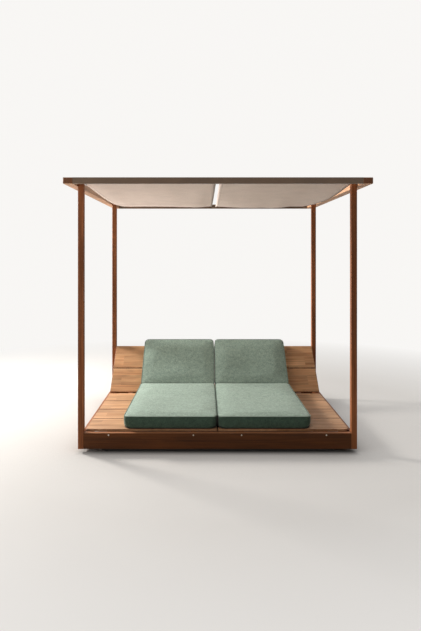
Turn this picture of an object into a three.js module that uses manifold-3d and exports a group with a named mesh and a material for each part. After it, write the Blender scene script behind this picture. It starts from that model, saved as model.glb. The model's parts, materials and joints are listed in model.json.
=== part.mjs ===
// Outdoor daybed with a fabric canopy: a timber platform on a recessed plinth, four posts, a roof
// frame with two hanging fabric sheets, two adjustable backrests and four loose cushions.
// Millimetres, +Z up, +Y towards the back. X = 0 is the plane of symmetry, Y = 0 is halfway along
// the roof and Z = 0 is the floor. Platform depths are measured back from the posts' front face.

import * as THREE from "three";
import { mergeVertices } from "three/addons/utils/BufferGeometryUtils.js";
import Module from "manifold-3d";

// Driving dimensions of the base
const bedWidth = 2400;
const bedDepth = 1840;
const postSide = 50;
const railHeight = 137;
const sideRailThickness = 24;
const plinthHeight = 25;
const padHeight = 5;

// Driving dimensions of the deck and backrests
const deckBoardCount = 4;
const backrestBoardCount = 2;
const boardThickness = 18;
const boardGap = 8;
const deckFrontGap = 6;
const deckSideGap = 3;
const deckCentreGap = 8;
const backrestDegrees = 43;

// Driving dimensions of the roof
const roofLength = 2590;
const roofFrontOverhang = 193;
const roofUnderside = 2288;
const roofBeamHeight = 52;
const roofBeamWidth = 80;
const roofBarDepth = 30;

// Driving dimensions of the cushions
const cushionWidth = 805;
const seatCushionThickness = 108;
const backCushionThickness = 84;
const cushionCentreGap = 4;
const backCushionLength = 640;

// Fits: a piece that rests on another keeps the seat gap, a piece that turns the running gap
const seat = 0.3;
const runningGap = 0.4;
const overrun = 5;

// Edge finish and how finely rounds are stepped
const timberEase = 2.5;
const boardEase = 2;
const metalEase = 0.8;
const roundSteps = 4;
const circleSteps = 20;

// Finishes
const finish = (color, roughness, metalness) =>
  new THREE.MeshStandardMaterial({ color, roughness, metalness });
const teak = () => finish(0x8c5534, 0.6, 0);
const paleTeak = () => finish(0xb98a5e, 0.6, 0);
const bronzeMetal = () => finish(0x6b5a4a, 0.45, 0.6);
const darkMetal = () => finish(0x1d1c1b, 0.6, 0.5);
const stainless = () => finish(0xb9b7b2, 0.3, 1);
const rubber = () => finish(0x18181a, 0.85, 0);
const cushionFabric = () => finish(0x728a78, 0.9, 0);
const canopyFabric = () => finish(0xc9bcaa, 0.85, 0);

// Scene graph: the platform, the roof, and for each side a backrest that carries its prop
const daybed = new THREE.Group();
const platform = new THREE.Group();
const roof = new THREE.Group();
daybed.add(platform, roof);
platform.position.y = roofFrontOverhang - roofLength / 2;

function addPiece(name, geometry, material, parent) {
  const mesh = new THREE.Mesh(geometry, material);
  mesh.name = name;
  parent.add(mesh);
}

// Closed meshes pass through the solid library only where a piece is cut or joined
const wasm = await Module();
wasm.setup();

function bare(geometry) {
  const flat = geometry.index ? geometry.toNonIndexed() : geometry.clone();
  flat.deleteAttribute("normal");
  flat.deleteAttribute("uv");
  return flat;
}

function toSolid(geometry) {
  const merged = mergeVertices(bare(geometry));
  const vertProperties = new Float32Array(merged.attributes.position.array);
  const triVerts = new Uint32Array(merged.index.array);
  return new wasm.Manifold(new wasm.Mesh({ numProp: 3, vertProperties, triVerts }));
}

function toGeometry(solid) {
  const mesh = solid.getMesh();
  const geometry = new THREE.BufferGeometry();
  const position = new Float32Array(mesh.vertProperties);
  geometry.setAttribute("position", new THREE.BufferAttribute(position, 3));
  geometry.setIndex(new THREE.BufferAttribute(new Uint32Array(mesh.triVerts), 1));
  geometry.computeVertexNormals();
  return geometry;
}

function join(...geometries) {
  const solids = geometries.map(toSolid);
  return toGeometry(solids.reduce((whole, piece) => whole.add(piece)));
}

function cut(geometry, tools) {
  const solids = tools.map(toSolid);
  return toGeometry(solids.reduce((whole, tool) => whole.subtract(tool), toSolid(geometry)));
}

// Ranges are [low, high] pairs. side is -1 on the left and +1 on the right
const span = (side, near, far) => (side < 0 ? [-far, -near] : [near, far]);
const about = (centre, width) => [centre - width / 2, centre + width / 2];
const middle = ([low, high]) => (low + high) / 2;
const sides = [["left", -1], ["right", 1]];

function box([x0, x1], [y0, y1], [z0, z1]) {
  const geometry = new THREE.BoxGeometry(x1 - x0, y1 - y0, z1 - z0);
  return geometry.translate((x0 + x1) / 2, (y0 + y1) / 2, (z0 + z1) / 2);
}

// A rectangle whose corners, from front left round to back left, have the given radii
function roundedPlan([x0, x1], [y0, y1], radii) {
  const points = [];
  radii.forEach((radius, corner) => {
    const x = corner === 0 || corner === 3 ? x0 + radius : x1 - radius;
    const y = corner < 2 ? y0 + radius : y1 - radius;
    const steps = radius > timberEase ? roundSteps : 1;
    for (let step = 0; step <= steps; step += 1) {
      const angle = Math.PI + (Math.PI / 2) * (corner + step / steps);
      points.push(new THREE.Vector2(x + radius * Math.cos(angle), y + radius * Math.sin(angle)));
    }
  });
  return new THREE.Shape(points);
}

// A shape drawn in X and Y, raised through a range of Z with its long edges eased
function raise(shape, [z0, z1], ease) {
  const geometry = new THREE.ExtrudeGeometry(shape, {
    depth: z1 - z0 - 2 * ease,
    bevelEnabled: ease > 0,
    bevelThickness: ease,
    bevelSize: ease,
    bevelOffset: -ease,
    bevelSegments: 1,
    curveSegments: 2 * roundSteps,
  });
  return geometry.translate(0, 0, z0 + ease);
}

// A shape drawn in Y and Z, carried through a range of X
function across(shape, rangeX, ease) {
  const turn = new THREE.Matrix4().makeBasis(
    new THREE.Vector3(0, 1, 0),
    new THREE.Vector3(0, 0, 1),
    new THREE.Vector3(1, 0, 0),
  );
  return raise(shape, rangeX, ease).applyMatrix4(turn);
}

// A timber with all twelve edges eased
function timber(x, y, z, ease = timberEase) {
  return raise(roundedPlan(x, y, [ease, ease, ease, ease]), z, ease);
}

function rodX(radius, [x0, x1], y, z) {
  const geometry = new THREE.CylinderGeometry(radius, radius, x1 - x0, circleSteps);
  return geometry.rotateZ(-Math.PI / 2).translate((x0 + x1) / 2, y, z);
}

// Levels, from the floor up
const plinthBottom = padHeight + seat;
const plinthTop = plinthBottom + plinthHeight;
const railBottom = plinthTop + seat;
const railTop = railBottom + railHeight;
const deckUnderside = railTop + seat;
const deckTop = deckUnderside + boardThickness;
const railLevels = [railBottom, railTop];

// Posts and rails: the rails end in stub tenons that sit in pockets in the posts. The side rails
// are thinner, and flush with the posts' inner faces
const railThickness = postSide;
const tenonThickness = 16;
const tenonWall = 2;
const tenonLength = (railThickness - tenonThickness) / 2 - tenonWall;
const tenonShoulder = 18;
const sideTenonThickness = 8;
const postTopDrop = 6;
const postOuter = bedWidth / 2;
const postInner = postOuter - postSide;
const postTop = roofUnderside + roofBeamHeight - postTopDrop;
const tenonLevels = [railBottom + tenonShoulder, railTop - tenonShoulder];
const pocketLevels = [tenonLevels[0] - seat, tenonLevels[1] + seat];
const sideRailMiddle = postInner + sideRailThickness / 2;

const railRows = [["front", [0, railThickness]], ["rear", [bedDepth - railThickness, bedDepth]]];
const rearRailFront = bedDepth - railThickness;

railRows.forEach(([row, depths]) => {
  const length = [-(postInner - seat), postInner - seat];
  const tenonReach = [-(postInner + tenonLength), postInner + tenonLength];
  const beam = timber(length, depths, railLevels);
  const tenons = box(tenonReach, about(middle(depths), tenonThickness), tenonLevels);
  addPiece(`${row}_rail`, join(beam, tenons), teak(), platform);
});

sides.forEach(([hand, side]) => {
  const length = [postSide + seat, bedDepth - postSide - seat];
  const tenonReach = [postSide - tenonLength, bedDepth - postSide + tenonLength];
  const beam = timber(span(side, postInner, postInner + sideRailThickness), length, railLevels);
  const tenons = box(about(side * sideRailMiddle, sideTenonThickness), tenonReach, tenonLevels);
  addPiece(`side_rail_${hand}`, join(beam, tenons), teak(), platform);
});

railRows.forEach(([row, depths]) => {
  sides.forEach(([hand, side]) => {
    const post = timber(span(side, postInner, postOuter), depths, [railBottom, postTop]);
    const inward = row === "front" ? 1 : -1;
    const innerFace = row === "front" ? postSide : bedDepth - postSide;
    const pocketDepth = tenonLength + seat;
    const crossPocket = box(
      span(side, postInner - overrun, postInner + pocketDepth),
      about(middle(depths), tenonThickness + 2 * seat),
      pocketLevels,
    );
    const pocketEnds = [innerFace - inward * pocketDepth, innerFace + inward * overrun];
    const sidePocket = box(
      about(side * sideRailMiddle, sideTenonThickness + 2 * seat),
      [Math.min(...pocketEnds), Math.max(...pocketEnds)],
      pocketLevels,
    );
    addPiece(`post_${row}_${hand}`, cut(post, [crossPocket, sidePocket]), teak(), platform);
  });
});

// Deck boards lie across each half on two bearers that run from the front rail to the rear rail
const bearerWidth = 45;
const bearerInnerInset = 203;
const bearerOuterInset = 211;
const deckCornerRadius = 45;
const boardInner = deckCentreGap / 2;
const boardOuter = postInner - deckSideGap;
const bearerInner = boardInner + bearerInnerInset;
const bearerOuter = boardOuter - bearerOuterInset;
const bearers = [["inner", bearerInner], ["outer", bearerOuter]];
const bearerLength = [railThickness + seat, rearRailFront - seat];

sides.forEach(([hand, side]) => {
  bearers.forEach(([place, offset]) => {
    const beam = timber(about(side * offset, bearerWidth), bearerLength, railLevels);
    addPiece(`bearer_${hand}_${place}`, beam, teak(), platform);
  });
});

// The deck's boards and the backrest's boards up to the upper one share the depth that the well
// for the pivot and the arms' free ends leaves
const pivotBehindDeck = 17;
const backrestFoot = 30;
const armOverlap = 104;
const armRailGap = 11;
const deckFront = railThickness + deckFrontGap;
const wellFittings = pivotBehindDeck + backrestFoot + armOverlap + armRailGap;
const boardRun = rearRailFront - deckFront + boardGap - wellFittings;
const boardPitch = boardRun / (deckBoardCount + backrestBoardCount - 1);
const deckBoardWidth = boardPitch - boardGap;
const deckEnd = deckFront + deckBoardCount * boardPitch - boardGap;

sides.forEach(([hand, side]) => {
  for (let row = 0; row < deckBoardCount; row += 1) {
    const start = deckFront + row * boardPitch;
    const outerRadius = row === 0 ? deckCornerRadius : boardEase;
    const radii = side < 0
      ? [outerRadius, boardEase, boardEase, boardEase]
      : [boardEase, outerRadius, boardEase, boardEase];
    const plan = roundedPlan(span(side, boardInner, boardOuter), [start, start + deckBoardWidth], radii);
    const board = raise(plan, [deckUnderside, deckTop], boardEase);
    addPiece(`deck_board_${hand}_${row + 1}`, board, paleTeak(), platform);
  }
});

// Recessed plinth of flat bars under the rails and bearers, on round pads
const plinthRecess = 40;
const plinthSideRecess = 200;
const plinthBarWidth = 70;
const padRadius = 26;
const plinthOuter = postOuter - plinthSideRecess;
const plinthLevels = [plinthBottom, plinthTop];
const plinthFront = [plinthRecess, plinthRecess + plinthBarWidth];
const plinthRear = [bedDepth - plinthFront[1], bedDepth - plinthFront[0]];
const plinthSide = (side) => span(side, plinthOuter - plinthBarWidth, plinthOuter);
const plinthWhole = [-plinthOuter, plinthOuter];
const plinthBetween = [plinthFront[1] + seat, plinthRear[0] - seat];

addPiece("plinth_front", timber(plinthWhole, plinthFront, plinthLevels), darkMetal(), platform);
addPiece("plinth_rear", timber(plinthWhole, plinthRear, plinthLevels), darkMetal(), platform);
sides.forEach(([hand, side]) => {
  const bar = timber(plinthSide(side), plinthBetween, plinthLevels);
  addPiece(`plinth_${hand}`, bar, darkMetal(), platform);
});

[["front", plinthFront], ["rear", plinthRear]].forEach(([row, depths]) => {
  sides.forEach(([hand, side]) => {
    const pad = new THREE.CylinderGeometry(padRadius, padRadius, padHeight, circleSteps);
    pad.rotateX(Math.PI / 2).translate(middle(plinthSide(side)), middle(depths), padHeight / 2);
    addPiece(`foot_pad_${row}_${hand}`, pad, rubber(), platform);
  });
});

// Backrests: each swings on two stub pins that stand out from plates on its bearers. In a
// backrest's own frame Y runs up the boards from the pivot and Z is square to them
const backrestAngle = THREE.MathUtils.degToRad(backrestDegrees);
const pivotBelowRail = 10;
const flatClearance = 1;
const backrestCornerRadius = 12;
const pivotDepth = deckEnd + pivotBehindDeck;
const pivotHeight = railTop - pivotBelowRail;
const backrestUnderside = pivotBelowRail + flatClearance;
const backrestTop = backrestUnderside + boardThickness;
const backrestEnd = backrestFoot + backrestBoardCount * boardPitch - boardGap;

// What lies side by side between a bearer and an arm, measured from the bearer's face: the side
// plate, the prop's leg with its stub reaching back over the plate, and the moving hinge plate
const armGap = 17;
const sidePlateThickness = 8;
const hingePlateThickness = 6;
const bossReach = 10.2;
const legThickness = 6;
const legOffset = 9.5;
const stubOffset = 1;
const armWidth = 40;
const armHeight = 42;
const armStart = 14;
const armEase = 1;
const armTaper = 60;
const armTaperShare = 0.45;
const armTop = backrestUnderside - seat;
const armBottom = armTop - armHeight;
const armEnd = backrestEnd - deckBoardWidth + armOverlap;

// The prop is as long as the distance from the pivot to its own hinge, so its foot runs level
// with the pivot: the three points make an isosceles triangle at every angle of the backrest
const propEndGap = 20;
const propHingeDrop = 9;
const propRadius = (armEnd - propEndGap) / 2;
const propHingeReach = Math.sqrt(propRadius ** 2 - propHingeDrop ** 2);
const propLean = Math.atan2(propHingeDrop, propHingeReach);
const propFootAt = (angle) => 2 * propRadius * Math.cos(angle - propLean);
const shaftRadius = 7;
const stubRadius = 5;
const legEyeRadius = 13;
const legFootRadius = 8.5;
const tipGap = 0.7;

// Inner faces: the bearer face that looks towards the middle of its half, and that direction
const armSides = [
  { place: "inner", face: bearerInner + bearerWidth / 2, inward: 1 },
  { place: "outer", face: bearerOuter - bearerWidth / 2, inward: -1 },
];
function stackRange(side, { face, inward }, from, to) {
  const ends = [side * (face + inward * from), side * (face + inward * to)];
  return [Math.min(...ends), Math.max(...ends)];
}

// Side plates: each bearer carries one steel plate with the pivot's boss and headed pin at its
// front and, behind a run with two slots, a rack with one notch for each angle of the backrest
const pinRadius = 4.5;
const bossRadius = 9;
const pinHeadRadius = 8;
const pinHeadGap = 0.5;
const pinHeadWidth = 6;
const plateFront = 18;
const plateTopDrop = 1;
const plateCorner = 8;
const plateShoulder = 44;
const plateShoulderRun = 26;
const rackHeight = 32;
const rackEndMargin = 16;
const notchRadius = 6;
const supportDegrees = [backrestDegrees, 36, 28, 17];
const rackTop = -stubRadius - tipGap;
const rackBottom = rackTop - rackHeight;
const plateTop = pivotBelowRail - plateTopDrop;
const plateSlotCount = 2;
const plateSlotRadius = 7;
const plateSlotEndGap = 22;

function sidePlateOutline() {
  const feet = supportDegrees.map((degrees) => propFootAt(THREE.MathUtils.degToRad(degrees)));
  const end = propFootAt(0) + rackEndMargin;
  const shape = new THREE.Shape();
  shape.moveTo(-plateFront, plateTop - plateCorner);
  shape.lineTo(-plateFront, rackBottom + plateCorner);
  shape.lineTo(plateCorner - plateFront, rackBottom);
  shape.lineTo(end, rackBottom);
  shape.lineTo(end, rackTop);
  feet.sort((a, b) => b - a).forEach((foot) => {
    shape.lineTo(foot + notchRadius, rackTop);
    shape.absarc(foot, rackTop, notchRadius, 0, Math.PI, true);
  });
  shape.lineTo(plateShoulder + plateShoulderRun, rackTop);
  shape.lineTo(plateShoulder, plateTop);
  shape.lineTo(plateCorner - plateFront, plateTop);
  const slotsStart = plateShoulder + plateShoulderRun;
  const slotPitch = (Math.min(...feet) - notchRadius - slotsStart) / plateSlotCount;
  for (let k = 0; k < plateSlotCount; k += 1) {
    const from = slotsStart + k * slotPitch + plateSlotRadius;
    const to = from + slotPitch - plateSlotEndGap;
    const level = (rackTop + rackBottom) / 2;
    const slot = new THREE.Path();
    slot.absarc(to, level, plateSlotRadius, Math.PI / 2, -Math.PI / 2, true);
    slot.absarc(from, level, plateSlotRadius, -Math.PI / 2, -Math.PI * 1.5, true);
    shape.holes.push(slot);
  }
  return shape;
}

function sidePlate(side, arm) {
  const plateEnd = seat + sidePlateThickness;
  const plate = across(sidePlateOutline(), stackRange(side, arm, seat, plateEnd), 0);
  const rooted = seat + sidePlateThickness / 2;
  const boss = rodX(bossRadius, stackRange(side, arm, rooted, bossReach), 0, 0);
  const headStart = armGap + pinHeadGap;
  const headEnd = headStart + pinHeadWidth;
  const pin = rodX(pinRadius, stackRange(side, arm, rooted, headEnd), 0, 0);
  const head = rodX(pinHeadRadius, stackRange(side, arm, headStart, headEnd), 0, 0);
  return join(plate, boss, pin, head).translate(0, pivotDepth, pivotHeight);
}

sides.forEach(([hand, side]) => {
  armSides.forEach((arm) => {
    addPiece(`side_plate_${hand}_${arm.place}`, sidePlate(side, arm), stainless(), platform);
  });
});

// The swinging part of each half
const backrests = sides.map(([hand, side]) => {
  const backrest = new THREE.Group();
  backrest.position.set(0, pivotDepth, pivotHeight);
  backrest.rotation.x = backrestAngle;
  platform.add(backrest);
  return { hand, side, backrest };
});

const backrestBoardNames = ["lower", "upper"];
backrests.forEach(({ hand, side, backrest }) => {
  for (let row = 0; row < backrestBoardCount; row += 1) {
    const start = backrestFoot + row * boardPitch;
    const radius = row === backrestBoardCount - 1 ? backrestCornerRadius : boardEase;
    const radii = [boardEase, boardEase, radius, radius];
    const plan = roundedPlan(span(side, boardInner, boardOuter), [start, start + deckBoardWidth], radii);
    const board = raise(plan, [backrestUnderside, backrestTop], boardEase);
    const name = backrestBoardNames[row] ?? `row_${row + 1}`;
    addPiece(`backrest_board_${hand}_${name}`, board, paleTeak(), backrest);
  }
});

// Two arms under the boards, tapered at the free end and bored for the prop's shaft, and a
// batten that stiffens the upper board behind the rear rail
const battenWidth = 40;
const battenThickness = 22;
const battenEndGap = 42;
const battenInset = 60;

function armOutline() {
  const shape = new THREE.Shape([
    new THREE.Vector2(armStart, armTop),
    new THREE.Vector2(armStart, armBottom),
    new THREE.Vector2(armEnd - armTaper, armBottom),
    new THREE.Vector2(armEnd, armTop - armHeight * armTaperShare),
    new THREE.Vector2(armEnd, armTop),
  ]);
  const bore = new THREE.Path();
  bore.absarc(propHingeReach, -propHingeDrop, shaftRadius + runningGap, 0, 2 * Math.PI, true);
  shape.holes.push(bore);
  return shape;
}

backrests.forEach(({ hand, side, backrest }) => {
  armSides.forEach((arm) => {
    const range = stackRange(side, arm, armGap, armGap + armWidth);
    const beam = across(armOutline(), range, armEase);
    addPiece(`backrest_arm_${hand}_${arm.place}`, beam, teak(), backrest);
  });
  const batten = timber(
    span(side, boardInner + battenInset, boardOuter - battenInset),
    [backrestEnd - battenEndGap - battenWidth, backrestEnd - battenEndGap],
    [armTop - battenThickness, armTop],
  );
  addPiece(`backrest_batten_${hand}`, batten, teak(), backrest);
});

// Hinge plates on the arms' faces, each with an eye round the pin
const hingePlateLength = 96;
const hingePlateDrop = 26;
const hingePlateEye = 10;

function hingePlate(side, arm) {
  const outline = new THREE.Shape();
  outline.moveTo(hingePlateLength, -hingePlateDrop);
  outline.lineTo(hingePlateLength, hingePlateEye);
  outline.lineTo(0, hingePlateEye);
  outline.absarc(0, 0, hingePlateEye, Math.PI / 2, Math.PI * 1.25, false);
  outline.lineTo(armStart, -hingePlateDrop);
  const eye = new THREE.Path();
  eye.absarc(0, 0, pinRadius + runningGap, 0, 2 * Math.PI, true);
  outline.holes.push(eye);
  const far = armGap - seat;
  return across(outline, stackRange(side, arm, far - hingePlateThickness, far), 0);
}

backrests.forEach(({ hand, side, backrest }) => {
  armSides.forEach((arm) => {
    addPiece(`hinge_plate_${hand}_${arm.place}`, hingePlate(side, arm), stainless(), backrest);
  });
});

// Prop: a shaft through both arms, a leg on each end, and a stub that rests in a rack's notch
function propLeg(side, arm) {
  const outline = new THREE.Shape();
  outline.absarc(0, 0, legEyeRadius, Math.PI / 2, Math.PI * 1.5, false);
  outline.absarc(propRadius, 0, legFootRadius, -Math.PI / 2, Math.PI / 2, false);
  const legEnd = legOffset + legThickness;
  const leg = across(outline, stackRange(side, arm, legOffset, legEnd), 0);
  const stub = rodX(stubRadius, stackRange(side, arm, stubOffset, legOffset + overrun), propRadius, 0);
  return join(leg, stub);
}

backrests.forEach(({ hand, side, backrest }) => {
  const prop = new THREE.Group();
  prop.position.set(0, propHingeReach, -propHingeDrop);
  prop.rotation.x = propLean - 2 * backrestAngle;
  backrest.add(prop);
  const ends = armSides.map(({ face, inward }) => side * (face + inward * legOffset));
  const shaft = rodX(shaftRadius, [Math.min(...ends), Math.max(...ends)], 0, 0);
  const legs = armSides.map((arm) => propLeg(side, arm));
  addPiece(`prop_${hand}`, join(shaft, ...legs), stainless(), prop);
});

// Cushions: a rounded box whose faces are crowned and whose sides are drawn in between corners
const cushionEdgeRadius = 18;
const cushionCornerRadius = 58;
const cushionCrown = 12;
const cushionDrawIn = 5;
const cushionLeastRadius = 9;
const cushionCornerSteps = 4;
const cushionSideSteps = 5;
const cushionEdgeSteps = 3;
const crownRingShares = [0.12, 0.28, 0.5, 0.75, 1];

// The outline of a rounded rectangle about the origin, drawn in by the inset
function cushionRing(halfX, halfY, inset) {
  const radius = Math.max(cushionCornerRadius - inset, cushionLeastRadius);
  const x = halfX - inset - radius;
  const y = halfY - inset - radius;
  const centres = [[x, y], [-x, y], [-x, -y], [x, -y]];
  const points = [];
  centres.forEach(([cx, cy], corner) => {
    for (let step = 0; step <= cushionCornerSteps; step += 1) {
      const angle = (Math.PI / 2) * (corner + step / cushionCornerSteps);
      points.push([cx + radius * Math.cos(angle), cy + radius * Math.sin(angle)]);
    }
    const [fromX, fromY] = points[points.length - 1];
    const [nextX, nextY] = centres[(corner + 1) % 4];
    const angle = (Math.PI / 2) * (corner + 1);
    const toX = nextX + radius * Math.cos(angle);
    const toY = nextY + radius * Math.sin(angle);
    for (let step = 1; step < cushionSideSteps; step += 1) {
      const share = step / cushionSideSteps;
      points.push([fromX + (toX - fromX) * share, fromY + (toY - fromY) * share]);
    }
  });
  return points;
}

function cushion([x0, x1], [y0, y1], bottom, top) {
  const halfX = (x1 - x0) / 2;
  const halfY = (y1 - y0) / 2;
  const rings = [];
  const edge = cushionEdgeRadius;
  for (let step = 0; step <= cushionEdgeSteps; step += 1) {
    const angle = ((Math.PI / 2) * step) / cushionEdgeSteps;
    rings.push({ inset: edge * (1 - Math.sin(angle)), height: edge * (1 - Math.cos(angle)) });
  }
  for (let step = 0; step <= cushionEdgeSteps; step += 1) {
    const angle = ((Math.PI / 2) * step) / cushionEdgeSteps;
    rings.push({ inset: edge * (1 - Math.cos(angle)), height: top - edge * (1 - Math.sin(angle)) });
  }
  const reach = Math.min(halfX, halfY);
  crownRingShares.forEach((share) => {
    rings.push({ inset: edge + (reach - edge - cushionLeastRadius) * share, height: top });
  });
  const positions = [];
  rings.forEach(({ inset, height }) => {
    cushionRing(halfX, halfY, inset).forEach(([x, y]) => {
      const shareX = 1 - (x / halfX) ** 2;
      const shareY = 1 - (y / halfY) ** 2;
      const fullX = 1 - (x / halfX) ** 4;
      const fullY = 1 - (y / halfY) ** 4;
      const crown = height === top ? cushionCrown * fullX * fullY : 0;
      const drawnX = x * (1 - (cushionDrawIn * shareY) / halfX);
      const drawnY = y * (1 - (cushionDrawIn * shareX) / halfY);
      positions.push(drawnX, drawnY, height + crown);
    });
  });
  const count = positions.length / 3 / rings.length;
  const faces = [];
  for (let ring = 0; ring < rings.length - 1; ring += 1) {
    for (let k = 0; k < count; k += 1) {
      const a = ring * count + k;
      const b = ring * count + ((k + 1) % count);
      faces.push(a, b, b + count, a, b + count, a + count);
    }
  }
  const capRing = (ring) => {
    const points = [];
    for (let k = 0; k < count; k += 1) {
      const at = 3 * (ring * count + k);
      points.push(new THREE.Vector2(positions[at], positions[at + 1]));
    }
    return THREE.ShapeUtils.triangulateShape(points, []);
  };
  capRing(0).forEach(([a, b, c]) => faces.push(a, c, b));
  const last = (rings.length - 1) * count;
  capRing(rings.length - 1).forEach(([a, b, c]) => faces.push(last + a, last + b, last + c));
  const geometry = new THREE.BufferGeometry();
  geometry.setAttribute("position", new THREE.Float32BufferAttribute(positions, 3));
  geometry.setIndex(faces);
  geometry.computeVertexNormals();
  return geometry.translate((x0 + x1) / 2, (y0 + y1) / 2, bottom);
}

// The back cushion stands on the boards a little above their foot, and the seat cushion runs
// back until the two round edges almost touch
const seatCushionSetback = 1;
const backCushionFoot = 50;
const cushionTouch = 1.5;
const cushionInner = cushionCentreGap / 2;
const seatCushionBottom = deckTop + seat;
const backCushionBottom = backrestTop + seat;

const backEdgeReach = backCushionFoot + cushionEdgeRadius;
const backEdgeHeight = backCushionBottom + backCushionThickness - cushionEdgeRadius;
const seatEdgeLevel = seatCushionBottom + seatCushionThickness - cushionEdgeRadius;
const backEdgeDepth = pivotDepth
  + backEdgeReach * Math.cos(backrestAngle)
  - backEdgeHeight * Math.sin(backrestAngle);
const backEdgeLevel = pivotHeight
  + backEdgeReach * Math.sin(backrestAngle)
  + backEdgeHeight * Math.cos(backrestAngle);
const edgeRise = backEdgeLevel - seatEdgeLevel;
const edgeSpacing = 2 * cushionEdgeRadius + cushionTouch;
const edgeRun = Math.sqrt(Math.max(edgeSpacing ** 2 - edgeRise ** 2, 0));
const seatCushionEnd = backEdgeDepth - edgeRun + cushionEdgeRadius;

backrests.forEach(({ hand, side, backrest }) => {
  const width = span(side, cushionInner, cushionInner + cushionWidth);
  const seatDepths = [deckFront + seatCushionSetback, seatCushionEnd];
  const seatCushion = cushion(width, seatDepths, seatCushionBottom, seatCushionThickness);
  addPiece(`seat_cushion_${hand}`, seatCushion, cushionFabric(), platform);
  const backDepths = [backCushionFoot, backCushionFoot + backCushionLength];
  const backCushion = cushion(width, backDepths, backCushionBottom, backCushionThickness);
  addPiece(`back_cushion_${hand}`, backCushion, cushionFabric(), backrest);
});

// Roof: timber beams on the posts' outer faces, and metal bars between them with a groove in
// the face that looks inwards for the fabric's hem
const roofFront = -roofLength / 2;
const beamInner = postOuter + seat;
const roofLevels = [roofUnderside, roofUnderside + roofBeamHeight];
const sheetThickness = 3;
const sheetLevel = 26;
const grooveDepth = 12;
const grooveHeight = sheetThickness + 2 * seat;

const barFace = roofFront + roofBarDepth;
const barEnd = beamInner - seat;
const barStubLength = 14;
const barStubEdge = 4;
const barStubThickness = 12;
const barStubShoulder = 10;
const barStubDepths = [roofFront + barStubEdge, roofFront + barStubEdge + barStubThickness];
const barStubLevels = [roofLevels[0] + barStubShoulder, roofLevels[1] - barStubShoulder];
const loosened = ([low, high]) => [low - seat, high + seat];

function beamPocket(side) {
  const reach = span(side, beamInner - overrun, barEnd + barStubLength + seat);
  return box(reach, loosened(barStubDepths), loosened(barStubLevels));
}

sides.forEach(([hand, side]) => {
  const width = span(side, beamInner, beamInner + roofBeamWidth);
  const beam = timber(width, [roofFront, roofFront + roofLength], roofLevels);
  const pockets = [beamPocket(side), beamPocket(-side).rotateZ(Math.PI)];
  addPiece(`roof_beam_${hand}`, cut(beam, pockets), teak(), roof);
});

const groove = about(roofUnderside + sheetLevel, grooveHeight);

function roofBar() {
  const [bottom, top] = roofLevels;
  const bar = across(new THREE.Shape([
    new THREE.Vector2(roofFront, bottom),
    new THREE.Vector2(barFace, bottom),
    new THREE.Vector2(barFace, groove[0]),
    new THREE.Vector2(barFace - grooveDepth, groove[0]),
    new THREE.Vector2(barFace - grooveDepth, groove[1]),
    new THREE.Vector2(barFace, groove[1]),
    new THREE.Vector2(barFace, top),
    new THREE.Vector2(roofFront, top),
  ]), [-barEnd, barEnd], 0);
  const stubReach = barEnd + barStubLength;
  return join(bar, box([-stubReach, stubReach], barStubDepths, barStubLevels));
}
addPiece("roof_bar_front", roofBar(), bronzeMetal(), roof);
addPiece("roof_bar_rear", roofBar().rotateZ(Math.PI), bronzeMetal(), roof);

// Canopy: two sheets held along their front and rear hems, with the middle gap wider at the
// back, sagging most about three quarters of the way back, where each has folds of its own
const sheetInsert = 10;
const sheetSideGap = 8;
const sheetGapFront = 27;
const sheetGapRear = 46;
const sheetSag = 54;
const sheetColumns = 12;
const sheetRows = 14;
const sagPeakShare = 0.77;
const slowFallShare = 0.4;
const evenSagShare = 0.8;

// The outer edges hang free beside the posts and are lowest further forward
const edgeSags = { left: 42, right: 52 };
const edgePeakShares = { left: 0.6, right: 0.42 };
const edgeBandShare = 0.3;

// How deep each sheet hangs at even steps from the middle gap to its outer edge
const foldShares = {
  left: [0.58, 0.93, 0.76, 0.6, 0.55, 0.56, 0.6],
  right: [0.55, 0.9, 0.99, 1, 0.98, 0.75, 0.5],
};

// How much of the sag is reached at a share of the length: a slow fall, then a quick rise
function sagAt(share, peakShare) {
  if (share <= peakShare) {
    const fall = Math.sin((Math.PI / 2) * (share / peakShare));
    return fall * (1 - slowFallShare + slowFallShare * fall);
  }
  return Math.cos((Math.PI / 2) * ((share - peakShare) / (1 - peakShare)));
}

function foldAt(shares, columnShare) {
  const at = columnShare * (shares.length - 1);
  const before = Math.min(Math.floor(at), shares.length - 2);
  const blend = THREE.MathUtils.smoothstep(at - before, 0, 1);
  return THREE.MathUtils.lerp(shares[before], shares[before + 1], blend);
}

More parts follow.
